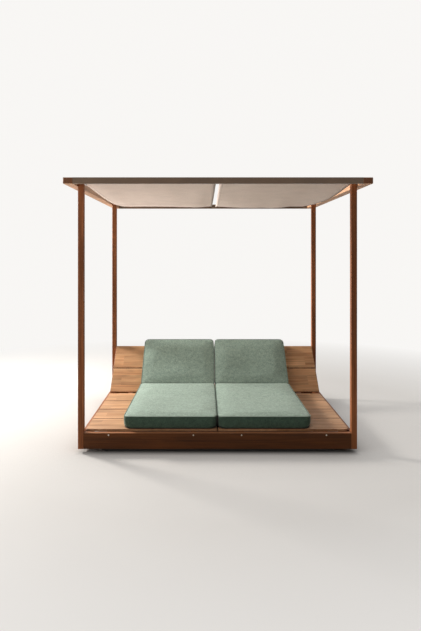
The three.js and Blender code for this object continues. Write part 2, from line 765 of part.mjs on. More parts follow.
function canopySheet(hand, side) {
  const level = roofUnderside + sheetLevel - sheetThickness / 2;
  const outer = postInner - sheetSideGap;
  const depths = [barFace - sheetInsert];
  for (let row = 0; row <= sheetRows; row += 1) {
    depths.push(barFace - (2 * barFace * row) / sheetRows);
  }
  depths.push(sheetInsert - barFace);
  const vertices = [];
  depths.forEach((depth) => {
    const share = THREE.MathUtils.clamp((depth - barFace) / (-2 * barFace), 0, 1);
    const inner = THREE.MathUtils.lerp(sheetGapFront, sheetGapRear, share) / 2;
    for (let column = 0; column <= sheetColumns; column += 1) {
      const columnShare = column / sheetColumns;
      const formed = Math.min(share / sagPeakShare, 1);
      const fold = foldAt(foldShares[hand], columnShare);
      const depthShare = THREE.MathUtils.lerp(evenSagShare, fold, formed);
      const x = side * THREE.MathUtils.lerp(inner, outer, columnShare);
      const inward = sheetSag * sagAt(share, sagPeakShare) * depthShare;
      const outward = edgeSags[hand] * sagAt(share, edgePeakShares[hand]);
      const edge = THREE.MathUtils.smoothstep(columnShare, 1 - edgeBandShare, 1);
      vertices.push([x, depth, level - THREE.MathUtils.lerp(inward, outward, edge)]);
    }
  });
  const perRow = sheetColumns + 1;
  const layer = vertices.length;
  const positions = [];
  [0, sheetThickness].forEach((lift) => {
    vertices.forEach(([x, y, z]) => positions.push(x, y, z + lift));
  });
  const faces = [];
  const quad = (a, b, c, d) => {
    if (side > 0) {
      faces.push(a, b, c, a, c, d);
    } else {
      faces.push(a, c, b, a, d, c);
    }
  };
  for (let row = 0; row < depths.length - 1; row += 1) {
    for (let column = 0; column < sheetColumns; column += 1) {
      const a = row * perRow + column;
      const b = a + 1;
      quad(a + layer, b + layer, b + layer + perRow, a + layer + perRow);
      quad(a, a + perRow, b + perRow, b);
    }
  }
  const lastRow = (depths.length - 1) * perRow;
  for (let column = 0; column < sheetColumns; column += 1) {
    quad(column, column + 1, column + 1 + layer, column + layer);
    const end = lastRow + column;
    quad(end + layer, end + layer + 1, end + 1, end);
  }
  for (let row = 0; row < depths.length - 1; row += 1) {
    const start = row * perRow;
    quad(start + layer, start + layer + perRow, start + perRow, start);
    const end = start + sheetColumns;
    quad(end, end + perRow, end + layer + perRow, end + layer);
  }
  const geometry = new THREE.BufferGeometry();
  geometry.setAttribute("position", new THREE.Float32BufferAttribute(positions, 3));
  geometry.setIndex(faces);
  geometry.computeVertexNormals();
  return geometry;
}

sides.forEach(([hand, side]) => {
  addPiece(`canopy_sheet_${hand}`, canopySheet(hand, side), canopyFabric(), roof);
});

export default daybed;
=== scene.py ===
import json
import math

import bmesh
import bpy
from mathutils import Matrix, Vector, noise


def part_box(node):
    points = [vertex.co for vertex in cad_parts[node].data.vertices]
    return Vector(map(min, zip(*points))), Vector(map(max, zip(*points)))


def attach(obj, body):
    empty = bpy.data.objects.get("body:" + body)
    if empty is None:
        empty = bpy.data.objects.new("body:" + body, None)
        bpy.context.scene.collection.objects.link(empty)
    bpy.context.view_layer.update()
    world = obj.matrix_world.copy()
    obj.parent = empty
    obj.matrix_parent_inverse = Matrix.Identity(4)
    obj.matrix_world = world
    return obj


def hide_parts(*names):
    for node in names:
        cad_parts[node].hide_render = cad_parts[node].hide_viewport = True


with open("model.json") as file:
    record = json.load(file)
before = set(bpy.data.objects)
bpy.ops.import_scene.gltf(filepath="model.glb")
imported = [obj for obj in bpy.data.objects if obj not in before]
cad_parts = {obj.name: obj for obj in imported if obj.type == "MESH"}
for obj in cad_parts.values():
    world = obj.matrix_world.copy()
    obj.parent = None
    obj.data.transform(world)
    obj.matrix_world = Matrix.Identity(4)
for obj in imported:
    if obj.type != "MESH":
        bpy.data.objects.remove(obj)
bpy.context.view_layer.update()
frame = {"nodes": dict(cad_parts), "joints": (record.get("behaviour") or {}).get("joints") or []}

HANDS = (("left", -1), ("right", 1))
PLACES = ("inner", "outer")
ROWS = ("front", "rear")
MM = 0.001
QUARTER = math.pi / 2

# Places that the frame gives, and the turn of a raised backrest
hinge = next(j for j in frame["joints"] if j["name"] == "backrest_left_hinge")
PIVOT = Vector((0, *hinge["pos_m"][1:]))
rail_low, rail_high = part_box("front_rail")
post_low, post_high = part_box("post_front_right")
rear_post_low, rear_post_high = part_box("post_rear_right")
rear_rail_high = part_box("rear_rail")[1]
beam_low, beam_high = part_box("roof_beam_right")
bar_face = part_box("roof_bar_front")[1].y
deck_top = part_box("deck_board_left_1")[1].z
RAISED = math.radians(43)
TILT = Matrix.Translation(PIVOT) @ Matrix.Rotation(RAISED, 4, "X")
UNTILT = TILT.inverted()


# Colours

def paint(code):
    """A colour written as a hex code, in the linear values that shaders take."""
    channels = [int(code[k:k + 2], 16) / 255 for k in (1, 3, 5)]
    linear = [c / 12.92 if c <= 0.04045 else ((c + 0.055) / 1.055) ** 2.4 for c in channels]
    return (*linear, 1.0)


# Shader building

class Nodes:
    """Adds and links the nodes of one tree."""

    def __init__(self, tree):
        self.tree = tree

    def add(self, kind, settings=None, **inputs):
        node = self.tree.nodes.new(kind)
        for name, value in (settings or {}).items():
            setattr(node, name, value)
        for name, value in inputs.items():
            self.feed(node, name, value)
        return node

    def feed(self, node, name, value):
        key = int(name[1:]) if name[0] == "_" else name.replace("_", " ")
        socket = node.inputs[key]
        if isinstance(value, bpy.types.NodeSocket):
            self.tree.links.new(value, socket)
        else:
            socket.default_value = value

    def math(self, operation, first, second=0.0):
        settings = {"operation": operation}
        return self.add("ShaderNodeMath", settings, _0=first, _1=second).outputs[0]

    def noise(self, vector, scale, detail=2.0, roughness=0.5, distortion=0.0):
        node = self.add("ShaderNodeTexNoise", None, Vector=vector, Scale=scale, Detail=detail,
                        Roughness=roughness, Distortion=distortion)
        return node.outputs["Fac"]

    def total(self, *shares):
        """The sum of values, each times its weight."""
        whole, *rest = [self.math("MULTIPLY", value, weight) for value, weight in shares]
        for part in rest:
            whole = self.math("ADD", whole, part)
        return whole

    def coordinate(self, name):
        return self.add("ShaderNodeTexCoord").outputs[name]

    def attribute(self, name):
        return self.add("ShaderNodeAttribute", {"attribute_name": name}).outputs["Fac"]

    def split(self, vector):
        return self.add("ShaderNodeSeparateXYZ", None, Vector=vector).outputs

    def vector_math(self, operation, first, second=(0, 0, 0)):
        settings = {"operation": operation}
        return self.add("ShaderNodeVectorMath", settings, _0=first, _1=second).outputs

    def streaks(self, vector, scale, **settings):
        """Noise with a scale of its own along each axis."""
        stretched = self.add("ShaderNodeMapping", None, Vector=vector, Scale=scale).outputs[0]
        return self.noise(stretched, 1.0, **settings)

    def remap(self, value, low, high, to_low=0.0, to_high=1.0):
        node = self.add("ShaderNodeMapRange", {"clamp": True}, Value=value)
        for name, setting in (("From Min", low), ("From Max", high),
                              ("To Min", to_low), ("To Max", to_high)):
            self.feed(node, name, setting)
        return node.outputs[0]

    def blend(self, factor, first, second):
        node = self.add("ShaderNodeMix", {"data_type": "RGBA"})
        self.feed(node, "_0", factor)
        self.feed(node, "_6", first)
        self.feed(node, "_7", second)
        return node.outputs[2]


def shader_group(name, takes, gives):
    """A node group with named inputs and outputs: takes is {name: (socket kind, default)}."""
    tree = bpy.data.node_groups.new(name, "ShaderNodeTree")
    for label, (kind, default) in takes.items():
        socket = tree.interface.new_socket(name=label, in_out="INPUT", socket_type=kind)
        socket.default_value = default
    for label, kind in gives.items():
        tree.interface.new_socket(name=label, in_out="OUTPUT", socket_type=kind)
    start = tree.nodes.new("NodeGroupInput")
    end = tree.nodes.new("NodeGroupOutput")
    return Nodes(tree), start.outputs, end


COLOR, FLOAT, VECTOR = "NodeSocketColor", "NodeSocketFloat", "NodeSocketVector"
CREVICE_REACH = 14 * MM
EDGE_REACH = 2.5 * MM


# The crevice mask places painted shade in joints, gaps and cushion creases.
def make_crevice():
    """How closed in a spot is by what stands within a few millimetres of it."""
    takes = {"Reach": (FLOAT, CREVICE_REACH), "Open": (FLOAT, 0.75), "Shut": (FLOAT, 0.3)}
    n, given, end = shader_group("crevice", takes, {"Mask": FLOAT})
    open_sky = n.add("ShaderNodeAmbientOcclusion", {"samples": 8}, Distance=given["Reach"])
    n.feed(end, "Mask", n.remap(open_sky.outputs["AO"], given["Open"], given["Shut"]))
    return n.tree


def make_edge_wear_and_shade():
    """A mask from how far a rounded normal leans off the true one: scuffed edges, and with a
    wide reach on the boards a band of painted shade along their gaps.
    """
    n, given, end = shader_group("edge wear", {"Reach": (FLOAT, EDGE_REACH)}, {"Mask": FLOAT})
    rounded = n.add("ShaderNodeBevel", {"samples": 4}, Radius=given["Reach"]).outputs[0]
    flat = n.add("ShaderNodeNewGeometry").outputs["True Normal"]
    edge = n.remap(n.vector_math("DOT_PRODUCT", rounded, flat)["Value"], 0.995, 0.9)
    place = n.coordinate("Object")
    patchy = n.remap(n.noise(place, 22.0, detail=3.0), 0.35, 0.65, 0.35, 1.0)
    n.feed(end, "Mask", n.math("MULTIPLY", edge, patchy))
    return n.tree


STAVE_LENGTH = 0.52
STAVE_HEIGHT = 0.13
STAVE_SHIFT = 7.0


def make_wood_grain():
    """Teak: growth bands, fibres and pores that run along X once the piece is turned."""
    takes = {
        "Turn": (VECTOR, (0, 0, 0)),
        "Light": (COLOR, paint("#c79a6d")),
        "Dark": (COLOR, paint("#9a6a42")),
        "Staves": (FLOAT, 0.0),
    }
    gives = {"Color": COLOR, "Roughness": FLOAT, "Height": FLOAT, "End": FLOAT, "Top": FLOAT}
    n, given, end = shader_group("wood grain", takes, gives)
    place = n.coordinate("Object")
    outward = n.coordinate("Normal")
    along = n.add("ShaderNodeMapping", {"vector_type": "VECTOR"}, Vector=outward,
                  Rotation=given["Turn"]).outputs[0]
    lengthwise = n.math("ABSOLUTE", n.split(along)["X"])
    n.feed(end, "End", n.remap(lengthwise, 0.7, 0.92))
    n.feed(end, "Top", n.remap(n.split(outward)["Z"], 0.6, 0.95))
    turned = n.add("ShaderNodeMapping", None, Vector=place, Rotation=given["Turn"]).outputs[0]

    stave = n.add("ShaderNodeTexBrick", {"offset": 0.37, "offset_frequency": 2},
                  Vector=turned, Color1=(0, 0, 0, 1), Color2=(1, 1, 1, 1))
    for name, setting in (("Scale", 1.0), ("Mortar Size", 0.0),
                          ("Brick Width", STAVE_LENGTH), ("Row Height", STAVE_HEIGHT)):
        n.feed(stave, name, setting)
    own_tone = n.math("SUBTRACT", stave.outputs["Color"], 0.5)
    own_tone = n.math("MULTIPLY", own_tone, given["Staves"])
    shift = n.math("MULTIPLY", own_tone, STAVE_SHIFT)
    shift = n.add("ShaderNodeCombineXYZ", None, X=shift, Y=shift).outputs[0]
    grain = n.vector_math("ADD", turned, shift)[0]

    bands = n.streaks(grain, (1.1, 26, 26), detail=4.0, roughness=0.55, distortion=0.9)
    rings = n.streaks(grain, (2.2, 95, 95), distortion=0.4)
    fibres = n.streaks(grain, (9, 330, 330), detail=3.0, roughness=0.6)
    pores = n.remap(n.streaks(grain, (40, 900, 900), detail=1.0), 0.66, 0.74)
    clouds = n.streaks(grain, (2.4, 8, 8), distortion=0.6)

    body = n.total((n.remap(bands, 0.34, 0.66), 0.5), (n.remap(rings, 0.35, 0.65), 0.28),
                   (fibres, 0.22))
    color = n.blend(body, given["Dark"], given["Light"])
    late_wood = n.remap(rings, 0.30, 0.38, 0.16, 0.0)
    shade = n.math("ADD", 0.79, n.math("MULTIPLY", n.remap(clouds, 0.3, 0.7), 0.36))
    shade = n.math("ADD", shade, n.math("MULTIPLY", own_tone, 0.34))
    shade = n.math("SUBTRACT", shade, n.math("ADD", n.math("MULTIPLY", pores, 0.22), late_wood))
    value = n.add("ShaderNodeHueSaturation", None, Color=color)
    n.feed(value, "Value", shade)
    n.feed(end, "Color", value.outputs[0])
    n.feed(end, "Roughness", n.remap(fibres, 0.3, 0.7, 0.48, 0.66))
    n.feed(end, "Height", n.math("SUBTRACT", n.math("MULTIPLY", fibres, 0.5), pores))
    return n.tree


YARN_DRIFT = 0.25


def make_weave():
    """Woven yarns over the UV map, which is in metres: tone and height of warp and weft."""
    takes = {"Pitch": (FLOAT, 3 * MM)}
    n, given, end = shader_group("woven yarns", takes, {"Tone": FLOAT, "Height": FLOAT})
    uv = n.coordinate("UV")
    wander = n.add("ShaderNodeTexNoise", None, Vector=uv, Scale=60.0, Detail=2.0)
    centred = n.vector_math("SUBTRACT", wander.outputs["Color"], (0.5, 0.5, 0.5))[0]
    drift = n.add("ShaderNodeVectorMath", {"operation": "SCALE"}, _0=centred)
    n.feed(drift, "Scale", n.math("MULTIPLY", given["Pitch"], YARN_DRIFT))
    parts = n.split(n.vector_math("ADD", uv, drift.outputs[0])[0])
    turns = n.math("DIVIDE", math.pi, given["Pitch"])
    warp = n.math("SINE", n.math("MULTIPLY", parts["X"], turns))
    weft = n.math("SINE", n.math("MULTIPLY", parts["Y"], turns))
    over = n.math("MULTIPLY", warp, weft)
    high = n.math("MAXIMUM", n.math("ABSOLUTE", warp), n.math("ABSOLUTE", weft))
    crossing = n.total((over, 0.35), (high, 0.65))
    slubs = n.streaks(uv, (90, 620, 1), detail=3.0, roughness=0.6)
    across = n.streaks(uv, (620, 90, 1), detail=3.0, roughness=0.6)
    yarn = n.math("MULTIPLY", n.math("ADD", slubs, across), 0.5)
    n.feed(end, "Tone", n.remap(n.total((crossing, 0.35), (yarn, 0.9)), 0.35, 1.0))
    n.feed(end, "Height", n.math("ADD", crossing, n.math("MULTIPLY", yarn, 0.5)))
    return n.tree


def make_melange():
    """Yarn dyed unevenly: soft blotches, a few sizes over one another, as a factor near 1."""
    n, given, end = shader_group("melange", {"Strength": (FLOAT, 0.2)}, {"Factor": FLOAT})
    place = n.coordinate("Object")
    blotches = n.noise(place, 26.0, roughness=0.6)
    dabs = n.noise(place, 90.0, roughness=0.6)
    specks = n.noise(place, 300.0, detail=1.0)
    mixed = n.total((blotches, 0.25), (dabs, 0.45), (specks, 0.3))
    swing = n.math("SUBTRACT", n.remap(mixed, 0.36, 0.64), 0.5)
    n.feed(end, "Factor", n.math("ADD", 1.0, n.math("MULTIPLY", swing, given["Strength"])))
    return n.tree


CREVICE = make_crevice()
EDGE_WEAR_AND_SHADE = make_edge_wear_and_shade()
WOOD_GRAIN = make_wood_grain()
WEAVE = make_weave()
MELANGE = make_melange()


# Materials

# Painted shade colour for teak joints and gaps
CREVICE_SHADE_COLOR = "#1c120c"
RUBBED_METAL = "#cfc8bd"
RUBBED_COATING = "#b5a898"
# Painted shade in cushion creases
CREASE_SHADE_REACH = 30 * MM
CREASE_SHADE_TONE = 0.12
# Painted shade on cushion sides: darker and more saturated below the seam
SIDE_SHADE_RUN = 8 * MM
SIDE_SHADE_SATURATION = 1.7
STITCH, STITCH_TONE = (0.8 * MM, 2.2 * MM), 0.82
HEM_TONE = 0.95


def start_material(name):
    material = bpy.data.materials.new(name)
    material.use_nodes = True
    n = Nodes(material.node_tree)
    shader = material.node_tree.nodes["Principled BSDF"]
    return material, n, shader


def use(n, group, **values):
    node = n.add("ShaderNodeGroup", {"node_tree": group})
    for name, value in values.items():
        n.feed(node, name, value)
    return node


def bump(n, shader, height, strength, distance):
    node = n.add("ShaderNodeBump", None, Height=height, Strength=strength, Distance=distance)
    n.feed(shader, "Normal", node.outputs[0])


def teak(name, light, dark, turn, end_grain=None, top=None, staves=0.0, edge_mark="#c99f78",
         wear_and_shade=0.3, reach=EDGE_REACH, gloss=0.2):
    """Oiled teak with scuffed edges, painted shade in its joints and a painted lit top if one is
    given. Turn brings its grain to X.
    """
    material, n, shader = start_material(name)
    grain = use(n, WOOD_GRAIN, Turn=turn, Light=paint(light), Dark=paint(dark), Staves=staves)
    color = grain.outputs["Color"]
    # Painted lit top: faces looking up are lightened towards the given top colour
    if top:
        color = n.blend(n.math("MULTIPLY", grain.outputs["Top"], 0.75), color, paint(top))
    ends = n.math("MULTIPLY", grain.outputs["End"], 0.8)
    color = n.blend(ends, color, paint(end_grain or dark))
    # Edge band: lighter scuffs on frame pieces; on boards a dark band of painted shade along the
    # gaps
    edge_mark_share = n.math("MULTIPLY", use(n, EDGE_WEAR_AND_SHADE, Reach=reach).outputs["Mask"], wear_and_shade)
    color = n.blend(edge_mark_share, color, paint(edge_mark))
    # Painted shade: joints and gaps darkened by the crevice mask
    crevice_shade = n.math("MULTIPLY", use(n, CREVICE).outputs["Mask"], 0.85)
    n.feed(shader, "Base Color", n.blend(crevice_shade, color, paint(CREVICE_SHADE_COLOR)))
    n.feed(shader, "Roughness", grain.outputs["Roughness"])
    bump(n, shader, grain.outputs["Height"], 0.35, 0.4 * MM)
    shader.inputs["Specular IOR Level"].default_value = gloss
    return material


def brushed(name, color, shade, roughness, metallic, streak=(3, 260, 260)):
    """Metal with fine lines and smudges."""
    material, n, shader = start_material(name)
    place = n.coordinate("Object")
    lines = n.streaks(place, streak, detail=3.0)
    smudge = n.noise(place, 9.0, detail=3.0)
    tone = n.total((lines, 0.6), (smudge, 0.4))
    base = n.blend(n.remap(tone, 0.35, 0.65), paint(shade), paint(color))
    edge_mark = n.math("MULTIPLY", use(n, EDGE_WEAR_AND_SHADE).outputs["Mask"], 0.35)
    n.feed(shader, "Base Color", n.blend(edge_mark, base, paint(RUBBED_METAL)))
    n.feed(shader, "Roughness", n.remap(tone, 0.3, 0.7, roughness - 0.08, roughness + 0.08))
    shader.inputs["Metallic"].default_value = metallic
    bump(n, shader, lines, 0.15, 0.15 * MM)
    return material


def coated(name, color, shade, roughness, grain_scale=900.0):
    """Powder coating or rubber: fine specks and smudges."""
    material, n, shader = start_material(name)
    place = n.coordinate("Object")
    specks = n.noise(place, grain_scale)
    smudge = n.noise(place, 6.0, detail=4.0)
    tone = n.total((specks, 0.5), (smudge, 0.5))
    base = n.blend(n.remap(tone, 0.38, 0.62), paint(shade), paint(color))
    edge_mark = n.math("MULTIPLY", use(n, EDGE_WEAR_AND_SHADE).outputs["Mask"], 0.3)
    n.feed(shader, "Base Color", n.blend(edge_mark, base, paint(RUBBED_COATING)))
    n.feed(shader, "Roughness", n.remap(smudge, 0.3, 0.7, roughness - 0.07, roughness + 0.07))
    bump(n, shader, specks, 0.25, 0.1 * MM)
    return material


def woven(name, light, dark, pitch, depth, sheen, melange=0.1, fleck=None, side_shade=1.0, hem=0.0):
    """Woven cloth, with painted shade in creases and on a cushion's sides below its seam, and
    darker along a sheet's hem.
    """
    material, n, shader = start_material(name)
    yarns = use(n, WEAVE, Pitch=pitch)
    uv = n.coordinate("UV")
    color = n.blend(yarns.outputs["Tone"], paint(dark), paint(light))
    if fleck:
        flecks = n.remap(n.noise(uv, 420.0), 0.58, 0.7)
        color = n.blend(n.math("MULTIPLY", flecks, 0.5), color, paint(fleck))
    faded = n.remap(n.noise(uv, 5.0, detail=3.0), 0.3, 0.7, 0.96, 1.04)
    value = n.add("ShaderNodeHueSaturation", None, Color=color)
    tone = n.math("MULTIPLY", faded, use(n, MELANGE, Strength=melange).outputs[0])
    # Painted shade where the cloth is closed in by a neighbour
    crease_shade = use(n, CREVICE, Reach=CREASE_SHADE_REACH, Open=0.93, Shut=0.55).outputs["Mask"]
    tone = n.math("MULTIPLY", tone, n.remap(crease_shade, 0.0, 1.0, 1.0, CREASE_SHADE_TONE))
    # Painted shade on the cushion's sides below its seam
    if side_shade < 1:
        below = n.attribute("below_seam")
        tone = n.math("MULTIPLY", tone, n.remap(below, -1 * MM, SIDE_SHADE_RUN, 1.0, side_shade))
        n.feed(value, "Saturation", n.remap(below, 0.0, SIDE_SHADE_RUN, 1.0, SIDE_SHADE_SATURATION))
    if hem:
        inset = n.attribute("edge_inset")
        off_stitch = n.math("ABSOLUTE", n.math("SUBTRACT", inset, hem))
        tone = n.math("MULTIPLY", tone, n.remap(off_stitch, *STITCH, STITCH_TONE, 1.0))
        doubled = n.remap(inset, hem - 1 * MM, hem + 1 * MM, HEM_TONE, 1.0)
        tone = n.math("MULTIPLY", tone, doubled)
    n.feed(value, "Value", tone)
    n.feed(shader, "Base Color", value.outputs[0])
    n.feed(shader, "Roughness", n.remap(yarns.outputs["Tone"], 0.0, 1.0, 0.95, 0.82))
    bump(n, shader, yarns.outputs["Height"], 0.6, depth)
    shader.inputs["Sheen Weight"].default_value = sheen
    shader.inputs["Sheen Roughness"].default_value = 0.5
    shader.inputs["Specular IOR Level"].default_value = 0.2
    return material


# Turns that bring a piece's length to X, and each wood's light and dark tone
ALONG_X = (0, 0, 0)
ALONG_Y = (0, 0, -QUARTER)
ALONG_Z = (0, QUARTER, 0)
ALONG_X_RAISED = (-RAISED, 0, 0)
ALONG_ARM = (RAISED, 0, -QUARTER)
FRAME_LIGHT, FRAME_DARK, FRAME_END = "#b57248", "#744021", "#6b3a21"
# Rails: teak darkened as painted shade, with a painted lit top
SHADED_RAIL_LIGHT, SHADED_RAIL_DARK = "#70401e", "#43240e"
DECK_LIGHT, DECK_DARK = "#dbb089", "#a06e45"
BACK_LIGHT, BACK_DARK = "#ebbc8d", "#b0744a"
# Roof beams: teak lightened as painted light from below
LIT_BEAM_LIGHT, LIT_BEAM_DARK = "#d9ad8a", "#b78661"
# Boards: their dark edge colour, strength and wide reach paint shade along the gaps
BOARD = {"staves": 0.75, "edge_mark": "#4d2712", "wear_and_shade": 0.95, "reach": 14 * MM, "gloss": 0.3}

post_teak = teak("post teak", FRAME_LIGHT, FRAME_DARK, ALONG_Z, end_grain=FRAME_END)
shaded_rail_teak = teak("rail teak", SHADED_RAIL_LIGHT, SHADED_RAIL_DARK, ALONG_X, top="#b27a56")
cross_teak = teak("cross rail teak", FRAME_LIGHT, FRAME_DARK, ALONG_X, end_grain=FRAME_END)
side_teak = teak("side rail teak", FRAME_LIGHT, FRAME_DARK, ALONG_Y, end_grain=FRAME_END)
lit_beam_teak = teak("roof beam teak, painted lit", LIT_BEAM_LIGHT, LIT_BEAM_DARK, ALONG_Y, end_grain=FRAME_END)
deck_teak = teak("deck board teak", DECK_LIGHT, DECK_DARK, ALONG_X, **BOARD)
backrest_teak = teak("backrest board teak", BACK_LIGHT, BACK_DARK, ALONG_X_RAISED, **BOARD)
arm_teak = teak("arm teak", FRAME_LIGHT, FRAME_DARK, ALONG_ARM, end_grain=FRAME_END)
bronze = coated("bronze coating", "#88705b", "#745e4b", 0.45)
plinth_coating = coated("plinth coating", "#1f1d1b", "#171513", 0.6)
steel = brushed("brushed steel", "#c2c0bb", "#a3a19c", 0.3, 1.0)
bolt_steel = brushed("bolt steel", "#d8cfc2", "#b9ab9a", 0.35, 0.9, (300, 300, 300))
pad_rubber = coated("pad rubber", "#1c1c1e", "#131315", 0.85, 500.0)
cushion_cloth = woven("cushion cloth", "#b8cabd", "#6f887a", 3.2 * MM, 1.0 * MM, 0.12,
                      melange=0.7, fleck="#cbd8ce", side_shade=0.3)
piping_cloth = woven("piping cloth", "#b0c2b4", "#7d9587", 2.4 * MM, 0.5 * MM, 0.1)
canopy_cloth = woven("canopy cloth", "#fbece4", "#e9d6cb", 1.6 * MM, 0.25 * MM, 0.05,
                     hem=30 * MM)


def dress(node_name, material):
    """Gives a CAD node that stays in view its finish."""
    mesh = frame["nodes"][node_name].data
    mesh.materials.clear()
    mesh.materials.append(material)


for row in ROWS:
    dress(f"{row}_rail", shaded_rail_teak)
    dress(f"roof_bar_{row}", bronze)
    dress(f"plinth_{row}", plinth_coating)
    for hand, _ in HANDS:
        dress(f"post_{row}_{hand}", post_teak)
        dress(f"foot_pad_{row}_{hand}", pad_rubber)
for hand, _ in HANDS:
    dress(f"side_rail_{hand}", side_teak)
    dress(f"roof_beam_{hand}", lit_beam_teak)
    dress(f"plinth_{hand}", plinth_coating)
    dress(f"prop_{hand}", steel)
    dress(f"backrest_batten_{hand}", cross_teak)
    for place in PLACES:
        dress(f"bearer_{hand}_{place}", side_teak)
        dress(f"side_plate_{hand}_{place}", steel)
        dress(f"hinge_plate_{hand}_{place}", steel)
        dress(f"backrest_arm_{hand}_{place}", arm_teak)
    for row in range(1, 5):
        dress(f"deck_board_{hand}_{row}", deck_teak)
    for level in ("lower", "upper"):
        dress(f"backrest_board_{hand}_{level}", backrest_teak)


# Mesh building

def ease(part):
    """A smooth step from 0 to 1."""
    part = min(max(part, 0), 1)
    return part * part * (3 - 2 * part)


def new_piece(name, bm, material, body, smooth=True):
    mesh = bpy.data.meshes.new(name)
    bm.to_mesh(mesh)
    bm.free()
    mesh.materials.append(material)
    for face in mesh.polygons:
        face.use_smooth = smooth
    piece = bpy.data.objects.new(name, mesh)
    bpy.context.scene.collection.objects.link(piece)
    if body:
        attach(piece, body)
    return piece


def close_rings(bm, rings):
    """Skins rings of vertices from the first to the last, and caps both ends."""
    count = len(rings[0])
    for low, high in zip(rings, rings[1:]):
        for k in range(count):
            after = (k + 1) % count
            bm.faces.new((low[k], low[after], high[after], high[k]))
    bm.faces.new(rings[0][::-1])
    bm.faces.new(rings[-1])


def add_turned(bm, profile, place, axis, sides=16):
    """A turned solid: profile is (radius, height) pairs from the back to the tip of an axis."""
    turn = Vector((0, 0, 1)).rotation_difference(Vector(axis)).to_matrix()
    rings = []
    for radius, height in profile:
        ring = []
        for k in range(sides):
            angle = 2 * math.pi * k / sides
            local = Vector((radius * math.cos(angle), radius * math.sin(angle), height))
            ring.append(bm.verts.new(Vector(place) + turn @ local))
        rings.append(ring)
    close_rings(bm, rings)


BOLT_RADIUS = 6.5 * MM
BOLT_HEAD = (
    (BOLT_RADIUS * 0.8, -1 * MM),
    (BOLT_RADIUS, 0.2 * MM),
    (BOLT_RADIUS, 1.2 * MM),
    (BOLT_RADIUS * 0.9, 2.4 * MM),
    (BOLT_RADIUS * 0.65, 3.2 * MM),
    (BOLT_RADIUS * 0.42, 3.4 * MM),
    (BOLT_RADIUS * 0.4, 1.2 * MM),
    (0.2 * MM, 0.9 * MM),
)
RAIL_BOLT_DROP = 17 * MM
ROOF_BOLT_OFFSET = 11 * MM
ROOF_BOLT_SCALE = 0.9


def bolts(name, places, axis, scale=1.0):
    """Round bolt heads with a recess, as one piece that stays with the frame."""
    bm = bmesh.new()
    profile = [(radius * scale, height * scale) for radius, height in BOLT_HEAD]
    for place in places:
        add_turned(bm, profile, place, axis)
    new_piece(name, bm, bolt_steel, "bed_frame")


bearer_x = [sum((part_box(f"bearer_{hand}_{place}")[k].x for k in (0, 1))) / 2
            for hand, _ in HANDS for place in PLACES]
bolt_z = rail_high.z - RAIL_BOLT_DROP
bolts("rail_bolts_front", [(x, rail_low.y, bolt_z) for x in bearer_x], (0, -1, 0))
bolts("rail_bolts_rear", [(x, rear_rail_high.y, bolt_z) for x in bearer_x], (0, 1, 0))

beam_middle_z = (beam_low.z + beam_high.z) / 2
for hand, side in HANDS:
    places = []
    for low, high in ((post_low, post_high), (rear_post_low, rear_post_high)):
        middle = (low.y + high.y) / 2
        places += [(side * beam_high.x, middle + shift, beam_middle_z)
                   for shift in (-ROOF_BOLT_OFFSET, ROOF_BOLT_OFFSET)]
    bolts(f"roof_bolts_{hand}", places, (side, 0, 0), ROOF_BOLT_SCALE)


# Cushions

SEAM_RADIUS = 10 * MM
SEAT_CORNER, BACK_CORNER = 38 * MM, 50 * MM
EDGE_STEPS = 3
BLOCK_SPACING, VOXEL = ((20 * MM, 10 * MM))
CROWN = 12 * MM
HELD_BASE = SEAM_RADIUS * 0.6
CLOTH_STEPS = 20
CLOTH_PRESSURE = 4.0
CLOTH_STIFFNESS = 18


def halves(size):
    """Half the width, half the length and the whole height of a cushion."""
    return size[0] / 2, size[1] / 2, size[2]


def rounded_outline(half_x, half_y, radius, spacing):
    """Points round a rounded rectangle, anticlockwise, about evenly spaced."""
    points = []
    centres = ((1, 1), (-1, 1), (-1, -1), (1, -1))
    for corner, (sx, sy) in enumerate(centres):
        cx, cy = sx * (half_x - radius), sy * (half_y - radius)
        steps = max(4, round(radius * QUARTER / spacing))
        for step in range(steps + 1):
            angle = QUARTER * (corner + step / steps)
            points.append(Vector((cx + radius * math.cos(angle),
                                  cy + radius * math.sin(angle))))
        nx, ny = centres[(corner + 1) % 4]
        angle = QUARTER * (corner + 1)
        end = Vector((nx * (half_x - radius) + radius * math.cos(angle),
                      ny * (half_y - radius) + radius * math.sin(angle)))
        start = points[-1].copy()
        steps = max(2, round((end - start).length / spacing))
        points += [start.lerp(end, step / steps) for step in range(1, steps)]
    return points


def cushion_block(size, corner):
    """A closed firm block with rounded corners and edges, its base at z = 0."""
    half_x, half_y, top = halves(size)
    edge = SEAM_RADIUS
    angles = [QUARTER * step / EDGE_STEPS for step in range(EDGE_STEPS + 1)]
    wall = max(2, round((top - 2 * edge) / BLOCK_SPACING))
    levels = [(edge * (1 - math.sin(angle)), edge * (1 - math.cos(angle))) for angle in angles]
    levels += [(0.0, edge + (top - 2 * edge) * k / wall) for k in range(1, wall)]
    levels += [(edge * (1 - math.cos(angle)), top - edge * (1 - math.sin(angle)))
               for angle in angles]
    bm = bmesh.new()
    loops = []
    outline = rounded_outline(half_x, half_y, corner, BLOCK_SPACING)
    for inset, height in levels:
        loop = []
        for point in outline:
            inward = Vector((
                max(abs(point.x) - (half_x - corner), 0) * math.copysign(1, point.x),
                max(abs(point.y) - (half_y - corner), 0) * math.copysign(1, point.y),
            ))
            moved = point - inward.normalized() * inset if inward.length else point
            loop.append(bm.verts.new((moved.x, moved.y, height)))
        loops.append(loop)
    close_rings(bm, loops)
    return bm


def remesh(piece):
    """Turns a block into even faces, which cloth and dents can bend."""
    modifier = piece.modifiers.new("remesh", "REMESH")
    modifier.mode = "VOXEL"
    modifier.voxel_size = VOXEL
    bpy.context.view_layer.objects.active = piece
    bpy.ops.object.modifier_apply(modifier=modifier.name)


